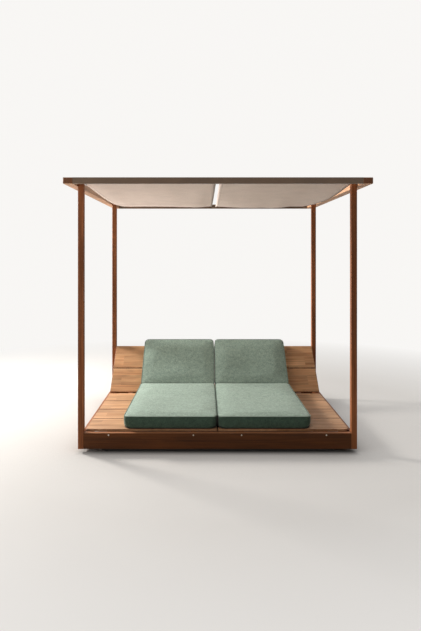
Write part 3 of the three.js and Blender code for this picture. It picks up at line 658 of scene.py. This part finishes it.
def swell(piece, size, corner):
    """Blows a block up to its crown with cloth pressure, its seams and base held."""
    scene = bpy.context.scene
    start = [v.co.copy() for v in piece.data.vertices]
    held = piece.vertex_groups.new(name="held")
    half_x, half_y, top = halves(size)
    for vertex in piece.data.vertices:
        x, y, z = vertex.co
        on_base = z < HELD_BASE
        near_side = min(half_x - abs(x), half_y - abs(y)) < SEAM_RADIUS
        past_x, past_y = abs(x) - (half_x - corner), abs(y) - (half_y - corner)
        in_corner = (min(past_x, past_y) > 0
                     and Vector((past_x, past_y)).length > corner - SEAM_RADIUS)
        if on_base or (z > top - SEAM_RADIUS and (near_side or in_corner)):
            held.add([vertex.index], 1.0, "REPLACE")
    cloth = piece.modifiers.new("cloth", "CLOTH")
    settings = cloth.settings
    settings.quality = 4
    settings.use_pressure = True
    settings.uniform_pressure_force = CLOTH_PRESSURE
    settings.effector_weights.gravity = 0.0
    settings.vertex_group_mass = "held"
    settings.tension_stiffness = CLOTH_STIFFNESS
    settings.compression_stiffness = CLOTH_STIFFNESS
    settings.bending_stiffness = 1.0
    cloth.point_cache.frame_start = 1
    cloth.point_cache.frame_end = CLOTH_STEPS
    for step in range(1, CLOTH_STEPS + 1):
        scene.frame_set(step)
    bpy.ops.object.modifier_apply(modifier=cloth.name)
    scene.frame_set(1)
    for vertex, first in zip(piece.data.vertices, start):
        move = vertex.co - first
        if move.length > CROWN:
            vertex.co = first + move * (CROWN / move.length)
    piece.vertex_groups.clear()


def lay_uv(mesh, to_flat):
    """Maps the weave in metres, from whichever side of the cushion a face looks out of."""
    layer = mesh.uv_layers.new(name="weave")
    turn = to_flat.to_3x3()
    flat = [to_flat @ v.co for v in mesh.vertices]
    for face in mesh.polygons:
        facing = turn @ face.normal
        strongest = max(range(3), key=lambda axis: abs(facing[axis]))
        first, second = [axis for axis in range(3) if axis != strongest]
        for loop in face.loop_indices:
            point = flat[mesh.loops[loop].vertex_index]
            layer.data[loop].uv = (point[first], point[second])


PIPING_RADIUS = 2.4 * MM
PIPING_SIDES = 8
PIPING_SPACING = 12 * MM


def piping(name, size, corner, place, body, settle):
    """The welt sewn into the seam round the top of a cushion."""
    half_x, half_y, top = halves(size)
    radius, sides = PIPING_RADIUS, PIPING_SIDES
    inset = SEAM_RADIUS * (1 - math.cos(QUARTER / 2)) - 0.4 * MM
    outline = rounded_outline(half_x - inset, half_y - inset, corner - inset, PIPING_SPACING)
    bm = bmesh.new()
    uv = bm.loops.layers.uv.new("weave")
    rings = []
    for k, point in enumerate(outline):
        along = (outline[(k + 1) % len(outline)] - outline[k - 1]).normalized()
        out = Vector((along.y, -along.x, 0))
        ring = []
        for s in range(sides):
            angle = 2 * math.pi * s / sides
            offset = out * (radius * math.cos(angle)) + Vector((0, 0, radius * math.sin(angle)))
            local = settle(Vector((point.x, point.y, top - inset))) + offset
            ring.append(bm.verts.new(place @ local))
        rings.append(ring)
    count = len(rings)
    girth = 2 * radius * math.pi / sides
    run = 0.0
    for k in range(count):
        after = (k + 1) % count
        step = (outline[after] - outline[k]).length
        for s in range(sides):
            other = (s + 1) % sides
            corners = (rings[k][s], rings[after][s], rings[after][other], rings[k][other])
            marks = ((run, s), (run + step, s), (run + step, s + 1), (run, s + 1))
            for loop, (u, v) in zip(bm.faces.new(corners).loops, marks):
                loop[uv].uv = (u, v * girth)
        run += step
    bmesh.ops.recalc_face_normals(bm, faces=bm.faces)
    piece = new_piece(name, bm, piping_cloth, body)


UNEVEN_HEIGHT = 4.5 * MM
DENT_SHARE = 0.55


def unevenness(point, seed):
    """A slow, slight wandering of a stuffed surface, with shallow dents across it."""
    slow = noise.noise(Vector((point.x * 3.2 + seed, point.y * 4.5, point.z * 5)))
    dents = noise.noise(Vector((point.x * 2.2 + 5 * seed, point.y * 10 + point.x * 2, 1.5)))
    return slow + DENT_SHARE * dents


def make_cushion(node_name, body, size, corner, place, seed, settle):
    """A stuffed cushion with its piping, in the place of its CAD solid."""
    block = cushion_block(size, corner)
    piece = new_piece(f"{node_name}_soft", block, cushion_cloth, None)
    remesh(piece)
    swell(piece, size, corner)
    half_x, half_y, top = halves(size)
    for vertex in piece.data.vertices:
        x, y, z = vertex.co
        lift = max(z - top / 2, 0) / (top / 2)
        inside = max(0, 1 - (x / half_x) ** 6) * max(0, 1 - (y / half_y) ** 6)
        vertex.co.z += UNEVEN_HEIGHT * unevenness(vertex.co, seed) * inside * lift
    below = piece.data.attributes.new("below_seam", "FLOAT", "POINT")
    for vertex, mark in zip(piece.data.vertices, below.data):
        mark.value = top - SEAM_RADIUS * 0.3 - vertex.co.z
        vertex.co = settle(vertex.co)
    piece.data.transform(place)
    piece.data.update()
    lay_uv(piece.data, place.inverted())
    for face in piece.data.polygons:
        face.use_smooth = True
    smooth = piece.modifiers.new("smooth", "SUBSURF")
    smooth.levels = 1
    smooth.render_levels = smooth.levels
    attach(piece, body)
    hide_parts(node_name)
    piping(f"{node_name}_piping", size, corner, place, body, settle)


# Sizes of the cushions, and how they press and lean on one another
BACK_FOOT = 50 * MM
BACK_LENGTH = 640 * MM
SEAT_THICKNESS = 108 * MM
BACK_THICKNESS = 84 * MM
CUSHION_CLEAR = 1 * MM
CUSHION_SPREAD = 3 * MM
BASE_CLEAR = 0.5 * MM
MIDDLE_CLEAR = 0.3 * MM
MIDDLE_OPEN, MIDDLE_OPEN_FROM = 6 * MM, 0.45
NOTCH, NOTCH_RUN = 7 * MM, 110 * MM
TUCK, TUCK_RUN, TUCK_TO = 22 * MM, 85 * MM, 0.75
REAR_RISE = 4 * MM
REAR_REACH = 24 * MM
REAR_RUN = 260 * MM
BACK_CLEAR = 13 * MM
FLARE = 11 * MM
BACK_SEED = 7
board_face = max((UNTILT @ vertex.co).z
                 for vertex in frame["nodes"]["backrest_board_left_lower"].data.vertices)
back_edge = TILT @ Vector((0, BACK_FOOT, board_face + BACK_THICKNESS))


def press_inner(side, centre_x, size):
    """Presses a cushion against its neighbour, and tucks in its lower corners."""
    half_x, half_y, top = halves(size)

    def settle(point):
        high = point.z / top
        near_end = ease((abs(point.y) - half_y + NOTCH_RUN) / NOTCH_RUN)
        upper = ease((high - MIDDLE_OPEN_FROM) / (1 - MIDDLE_OPEN_FROM))
        opened = MIDDLE_CLEAR + MIDDLE_OPEN * upper + NOTCH * near_end ** 2
        inner = -side * (abs(centre_x) - opened)
        x = point.x
        if side * x < side * inner:
            x = inner
        tuck = TUCK * max(1 - high / TUCK_TO, 0) ** 2
        tuck *= ease((abs(point.x) - half_x + TUCK_RUN) / TUCK_RUN)
        tuck *= ease((abs(point.y) - half_y + TUCK_RUN) / TUCK_RUN)
        x -= math.copysign(tuck, x)
        y = point.y - math.copysign(tuck * 0.5, point.y)
        return Vector((x, y, point.z))
    return settle


def press_seat(side, centre, size):
    """Also flares a seat cushion's front, and lifts and leans its rear on the back cushion."""
    inner = press_inner(side, centre[0], size)

    def settle(point):
        near = ease((point.y - size[1] / 2 + REAR_RUN) / REAR_RUN)
        high = max(point.z / SEAT_THICKNESS, 0)
        z = point.z + REAR_RISE * near * high
        y = point.y + REAR_REACH * near ** 3 * ease((high - 0.5) * 2)
        above_edge = max(centre[2] + z - back_edge.z, 0)
        limit = back_edge.y - BACK_CLEAR + above_edge / math.tan(RAISED) - centre[1]
        settled = inner(point)
        outward = side * point.x / (size[0] / 2)
        x = settled.x + side * FLARE * ease(outward) * ease(0.5 - point.y / size[1])
        return Vector((x, settled.y - point.y + min(y, max(limit, point.y)), z))
    return settle


for seed, (hand, side) in enumerate(HANDS):
    low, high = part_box(f"seat_cushion_{hand}")
    width = high.x - low.x + CUSHION_SPREAD
    size = (width, high.y - low.y - CUSHION_CLEAR, SEAT_THICKNESS)
    centre = ((low.x + high.x) / 2, (low.y + high.y) / 2, deck_top + BASE_CLEAR)
    make_cushion(f"seat_cushion_{hand}", "bed_frame", size, SEAT_CORNER,
                 Matrix.Translation(centre), seed, press_seat(side, centre, size))
    size = (width, BACK_LENGTH - CUSHION_CLEAR, BACK_THICKNESS)
    middle = (centre[0], BACK_FOOT + BACK_LENGTH / 2, board_face + BASE_CLEAR)
    make_cushion(f"back_cushion_{hand}", f"backrest_{hand}", size, BACK_CORNER,
                 TILT @ Matrix.Translation(middle), seed + BACK_SEED,
                 press_inner(side, centre[0], size))


# Canopy sheets

SHEET_LEVEL = beam_low.z + 26 * MM
SAG = 54 * MM
PEAK_SHARE = 0.77
SLOW_FALL_SHARE = 0.4
EVEN_SAG_SHARE = 0.8
FOLD_SHARES = {
    "left": (0.58, 0.93, 0.76, 0.6, 0.55, 0.56, 0.6),
    "right": (0.55, 0.9, 0.99, 1.0, 0.98, 0.75, 0.5),
}
EDGE_SAGS = {"left": 42 * MM, "right": 52 * MM}
EDGE_PEAK_SHARES = {"left": 0.6, "right": 0.42}
EDGE_BAND_SHARE = 0.3
INSERT = 10 * MM
GAP_FRONT, GAP_REAR = 13.5 * MM, 23 * MM
HALF_CLOTH = 0.7 * MM
SHEET_COLUMNS, SHEET_ROWS = 44, 84
RIPPLE, RIPPLES = 1.1 * MM, 5.3
CREASE = 3.2 * MM
END_BAND_SHARE = 1 / 12


def sag_at(share, peak_share):
    """How much of the sag is reached at a share of the length from the front bar."""
    if share <= peak_share:
        fall = math.sin(QUARTER * share / peak_share)
        return fall * (1 - SLOW_FALL_SHARE + SLOW_FALL_SHARE * fall)
    return math.cos(QUARTER * (share - peak_share) / (1 - peak_share))


def fold_at(shares, across):
    """How deep a fold hangs at a share of the width, eased between the shares at even steps."""
    at = across * (len(shares) - 1)
    before = min(int(at), len(shares) - 2)
    return shares[before] + (shares[before + 1] - shares[before]) * ease(at - before)


def sheet_level(hand, side, across, along):
    """The cloth's height at a share of its width, from the middle gap, and of its length."""
    formed = min(along / PEAK_SHARE, 1)
    depth = EVEN_SAG_SHARE + (fold_at(FOLD_SHARES[hand], across) - EVEN_SAG_SHARE) * formed
    inward = SAG * sag_at(along, PEAK_SHARE) * depth
    outward = EDGE_SAGS[hand] * sag_at(along, EDGE_PEAK_SHARES[hand])
    edge = ease((across - 1 + EDGE_BAND_SHARE) / EDGE_BAND_SHARE)
    ends = min(1, min(along, 1 - along) / END_BAND_SHARE)
    ripple = math.sin(2 * math.pi * (across * RIPPLES + 0.4 * along + 0.2 * side))
    creases = noise.noise(Vector((across * 9, along * 1.6 + 4 * side, 0.5)))
    small = ends * (RIPPLE * ripple * along + CREASE * creases)
    return SHEET_LEVEL - inward - (outward - inward) * edge + small


def make_sheet(hand, side):
    """A hemmed sheet from the front bar to the rear bar, in the place of its CAD solid."""
    low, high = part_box(f"canopy_sheet_{hand}")
    outer = max(abs(low.x), abs(high.x))
    columns, rows = SHEET_COLUMNS, SHEET_ROWS
    bm = bmesh.new()
    uv = bm.loops.layers.uv.new("weave")
    inset = bm.verts.layers.float.new("edge_inset")
    depths = [bar_face - INSERT]
    depths += [bar_face - 2 * bar_face * k / rows for k in range(rows + 1)]
    depths.append(INSERT - bar_face)
    layers = []
    for lift in (-HALF_CLOTH, HALF_CLOTH):
        grid = []
        for depth in depths:
            along = min(max((depth - bar_face) / (-2 * bar_face), 0), 1)
            inner = GAP_FRONT + (GAP_REAR - GAP_FRONT) * along
            line = []
            for column in range(columns + 1):
                across = column / columns
                x = side * (inner + (outer - inner) * across)
                vertex = bm.verts.new((x, depth, sheet_level(hand, side, across, along) + lift))
                vertex[inset] = min(across, 1 - across) * (outer - inner)
                line.append(vertex)
            grid.append(line)
        layers.append(grid)
    below, above = layers

    def face(*corners):
        made = bm.faces.new(corners)
        for loop in made.loops:
            loop[uv].uv = (loop.vert.co.x, loop.vert.co.y)

    last = len(depths) - 1
    for k in range(last):
        for c in range(columns):
            face(above[k][c], above[k][c + 1], above[k + 1][c + 1], above[k + 1][c])
            face(below[k][c], below[k + 1][c], below[k + 1][c + 1], below[k][c + 1])
        face(below[k][0], above[k][0], above[k + 1][0], below[k + 1][0])
        face(below[k][columns], below[k + 1][columns], above[k + 1][columns], above[k][columns])
    for c in range(columns):
        face(below[0][c], below[0][c + 1], above[0][c + 1], above[0][c])
        face(below[last][c], above[last][c], above[last][c + 1], below[last][c + 1])
    bmesh.ops.recalc_face_normals(bm, faces=bm.faces)
    piece = new_piece(f"canopy_sheet_{hand}_cloth", bm, canopy_cloth, "bed_frame")
    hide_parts(f"canopy_sheet_{hand}")


for hand, side in HANDS:
    make_sheet(hand, side)


# Floor, light and camera

FLOOR_RADIUS = 40.0
FLOOR_DROP = 0.5 * MM
FLOOR_SEEN = "#9e9b98", "#a3a19e"
FLOOR_UNSEEN = "#99938c"
FLOOR_GLOW = 0.37
GLOW_REACH = 0.7
FOOTPRINT_FADE = -40 * MM, 60 * MM
FLOOR_END = 2.4, 5.5
DAYLIGHT = (1, 0.985, 0.965, 1)
BACKDROP = 0.94
BRIGHT_SIDE = Vector((-0.8, 0.5, 0.3)).normalized()
DIM, BRIGHT = 0.07, 0.6


def seen_rays(n):
    """1 for rays that show the surroundings, 0 for those that only light the object."""
    rays = n.add("ShaderNodeLightPath").outputs
    seen = n.math("MAXIMUM", rays["Is Camera Ray"], rays["Is Glossy Ray"])
    return n.math("MAXIMUM", seen, rays["Is Transmission Ray"])


def studio_floor():
    bm = bmesh.new()
    bmesh.ops.create_circle(bm, cap_ends=True, segments=96, radius=FLOOR_RADIUS)
    floor = new_piece("studio_floor", bm, floor_material(), None, smooth=False)
    floor.location.z = -FLOOR_DROP


def floor_material():
    """A pale floor with a painted glow for the rays that are seen, dimmed into a painted contact
    shadow near the bed, that fades into the backdrop.
    """
    material, n, shader = start_material("studio floor")
    place = n.coordinate("Object")
    mottled = n.noise(place, 1.5)
    seen = seen_rays(n)
    pale = n.blend(mottled, *map(paint, FLOOR_SEEN))
    n.feed(shader, "Base Color", n.blend(seen, paint(FLOOR_UNSEEN), pale))
    # Painted glow: seen rays only, dimmed near the bed and cut off under its footprint
    open_sky = n.add("ShaderNodeAmbientOcclusion", {"samples": 8}, Distance=GLOW_REACH)
    lift = n.math("MULTIPLY", n.remap(open_sky.outputs["AO"], 0.35, 1.0), FLOOR_GLOW)
    across = n.split(place)
    middle_y, half_y = (rail_low.y + rear_rail_high.y) / 2, (rear_rail_high.y - rail_low.y) / 2
    beside = n.math("SUBTRACT", n.math("ABSOLUTE", across["X"]), rail_high.x)
    behind = n.math("ABSOLUTE", n.math("SUBTRACT", across["Y"], middle_y))
    behind = n.math("SUBTRACT", behind, half_y)
    clear = n.remap(n.math("MAXIMUM", beside, behind), *FOOTPRINT_FADE)
    lift = n.math("MULTIPLY", lift, clear)
    n.feed(shader, "Emission Color", paint("#fffcf8"))
    n.feed(shader, "Emission Strength", n.math("MULTIPLY", seen, lift))
    shader.inputs["Roughness"].default_value = 0.8
    shader.inputs["Specular IOR Level"].default_value = 0.1
    glow = n.add("ShaderNodeEmission", None, Color=DAYLIGHT, Strength=BACKDROP)
    far = n.remap(n.vector_math("LENGTH", place)["Value"], *FLOOR_END)
    mix = n.add("ShaderNodeMixShader")
    n.feed(mix, "_0", n.math("MULTIPLY", far, seen))
    n.feed(mix, "_1", shader.outputs[0])
    n.feed(mix, "_2", glow.outputs[0])
    output = material.node_tree.nodes["Material Output"]
    n.feed(output, "Surface", mix.outputs[0])
    return material


def studio_world():
    """A plain bright backdrop that lights the object more from its left."""
    world = bpy.data.worlds.new("studio world")
    bpy.context.scene.world = world
    world.use_nodes = True
    n = Nodes(world.node_tree)
    background = world.node_tree.nodes["Background"]
    facing = n.vector_math("DOT_PRODUCT", n.coordinate("Generated"), BRIGHT_SIDE)["Value"]
    soft = n.remap(facing, -0.8, 1.0, DIM, BRIGHT)
    n.feed(background, "Color", DAYLIGHT)
    both = n.add("ShaderNodeMix", {"data_type": "FLOAT"}, _0=seen_rays(n), _2=soft, _3=BACKDROP)
    n.feed(background, "Strength", both.outputs[0])


def soft_lamp(name, place, target, size, power, color):
    data = bpy.data.lights.new(name, "AREA")
    data.shape = "DISK"
    data.size = size
    data.energy = power
    data.color = color
    lamp = bpy.data.objects.new(name, data)
    bpy.context.scene.collection.objects.link(lamp)
    lamp.location = place
    lamp.rotation_euler = (Vector(target) - Vector(place)).to_track_quat("-Z", "Y").to_euler()


# Name, place, target, width in metres, watts and colour
LAMPS = (
    ("key_lamp", (-5.2, 1.9, 3.2), (0.0, -0.2, 0.5), 1.3, 560, (1.0, 0.965, 0.915)),
    ("low_lamp", (-3.4, 1.6, 0.5), (0.2, 0.0, 2.3), 1.6, 95, (1.0, 0.955, 0.915)),
    ("top_lamp", (0.0, 0.3, 4.7), (0.0, 0.0, 2.3), 2.4, 25, (1.0, 0.97, 0.93)),
    ("side_lamp", (-3.4, -3.1, 1.7), (-1.0, -1.1, 1.0), 1.4, 24, (1.0, 0.95, 0.9)),
)

studio_floor()
studio_world()
for lamp in LAMPS:
    soft_lamp(*lamp)

# The camera as fitted to the photograph: level, with its lens shifted
PHOTO_WIDTH, PHOTO_HEIGHT = 421, 631
FOCAL_PIXELS = 562
CENTRE_PIXEL = (204.8, 253.8)
CAMERA_PLACE = (-0.109, -5.930, 1.709)
SENSOR_WIDTH = 36
camera_data = bpy.data.cameras.new("photo_camera")
camera_data.sensor_width = SENSOR_WIDTH
camera_data.lens = SENSOR_WIDTH * FOCAL_PIXELS / PHOTO_HEIGHT
camera_data.shift_x = (PHOTO_WIDTH / 2 - CENTRE_PIXEL[0]) / PHOTO_HEIGHT
camera_data.shift_y = (CENTRE_PIXEL[1] - PHOTO_HEIGHT / 2) / PHOTO_HEIGHT
camera_data.dof.use_dof = False
camera = bpy.data.objects.new("photo_camera", camera_data)
bpy.context.scene.collection.objects.link(camera)
camera.location = CAMERA_PLACE
camera.rotation_euler = (QUARTER, 0, 0)
bpy.context.scene.camera = camera
bpy.context.scene.view_settings.view_transform = "Standard"
